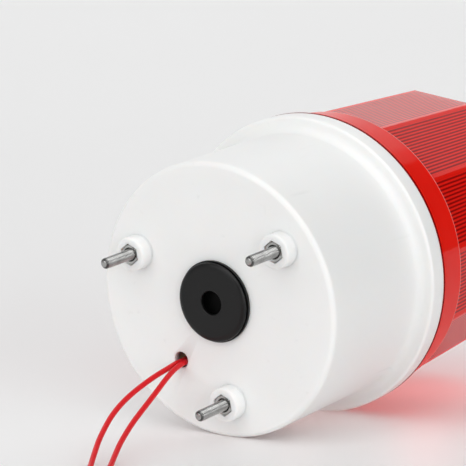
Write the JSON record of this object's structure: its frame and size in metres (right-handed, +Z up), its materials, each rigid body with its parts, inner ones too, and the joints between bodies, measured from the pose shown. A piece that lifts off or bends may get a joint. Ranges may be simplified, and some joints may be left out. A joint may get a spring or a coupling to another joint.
{
  "type": "warning beacon light",
  "caption": "Rotary warning beacon with a faceted red lens, white base, threaded mounting studs, a sounder in its mounting face and flying supply leads.",
  "frame": {"origin": "on the surface that the beacon lies on, below the centre of its bounding box without the supply leads", "axes": "+Z up; +Y horizontal, along the beacon from its mounting face to its lens; +X to the right when looking along +Y. The beacon's own axis lies in the YZ plane and rises by 5.98 degrees towards the lens, because it rests on its mounting face's edge and on its flange"},
  "size_m": [0.1178, 0.2745, 0.1202],
  "materials": {
    "white_housing": "gloss",
    "zinc_steel": "gloss",
    "black_plastic": "satin",
    "brass": "satin",
    "board_green": "satin",
    "terminal_green": "satin",
    "motor_steel": "satin",
    "gear_nylon": "satin",
    "lamp_glass": "gloss",
    "mirror_chrome": "polished",
    "red_lens": "gloss",
    "seal_rubber": "matte",
    "lead_red": "gloss",
    "tie_nylon": "satin",
    "tinned_copper": "satin"
  },
  "bodies": {
    "base": {"base_housing": "white_housing", "mounting_stud_1": "zinc_steel", "stud_nut_1": "zinc_steel", "mounting_stud_2": "zinc_steel", "stud_nut_2": "zinc_steel", "mounting_stud_3": "zinc_steel", "stud_nut_3": "zinc_steel", "sounder_case": "black_plastic", "sounder_diaphragm": "brass", "sounder_back": "black_plastic", "sounder_ring_nut": "black_plastic", "circuit_board": "board_green", "board_screw_1": "zinc_steel", "board_screw_2": "zinc_steel", "board_screw_3": "zinc_steel", "terminal_block": "terminal_green", "capacitor": "black_plastic", "relay": "black_plastic", "regulator": "black_plastic", "deck_plate": "motor_steel", "deck_screw_1": "zinc_steel", "deck_screw_2": "zinc_steel", "deck_screw_3": "zinc_steel", "motor_screw_1": "zinc_steel", "motor_screw_2": "zinc_steel", "motor_gearhead": "gear_nylon", "motor_can": "motor_steel", "lamp_holder": "black_plastic", "holder_screw_1": "zinc_steel", "holder_screw_2": "zinc_steel", "lamp_contact": "gear_nylon", "rotor_clip": "zinc_steel", "lamp_cap": "brass", "lamp_glass": "lamp_glass", "lamp_filament": "lamp_glass", "lens_seal": "seal_rubber", "inner_lead_left": "lead_red", "inner_lead_right": "lead_red", "lead_tie": "tie_nylon", "motor_wire_1": "lead_red", "motor_wire_2": "lead_red", "lamp_wire_1": "lead_red", "lamp_wire_2": "lead_red", "supply_lead_left": "lead_red", "supply_coil_left": "lead_red", "stripped_end_left": "tinned_copper", "supply_lead_right": "lead_red", "supply_coil_right": "lead_red", "stripped_end_right": "tinned_copper"},
    "lens": {"lens": "red_lens"},
    "rotor": {"rotor_bush": "brass", "rotor_gear": "gear_nylon", "reflector": "mirror_chrome", "reflector_bracket": "motor_steel", "bracket_screw_1": "zinc_steel", "bracket_screw_2": "zinc_steel", "reflector_screw": "zinc_steel"},
    "drive": {"drive_shaft": "zinc_steel", "drive_pinion": "gear_nylon"}
  },
  "joints": [
    {"name": "lens_turn", "type": "hinge", "parent": "base", "child": "lens", "pos_m": [0, -0.00468, 0.05897], "axis": [0, 0.9946, 0.1041], "range_deg": [0, 40]},
    {"name": "rotor_spin", "type": "hinge", "parent": "base", "child": "rotor", "pos_m": [0, -0.01532, 0.05786], "axis": [0, 0.9946, 0.1041], "continuous": true},
    {"name": "motor_spin", "type": "hinge", "parent": "base", "child": "drive", "pos_m": [0, -0.01245, 0.03041], "axis": [0, 0.9946, 0.1041], "continuous": true}
  ],
  "couplings": [
    {"joint": "motor_spin", "follows": "rotor_spin", "ratio": -3}
  ]
}
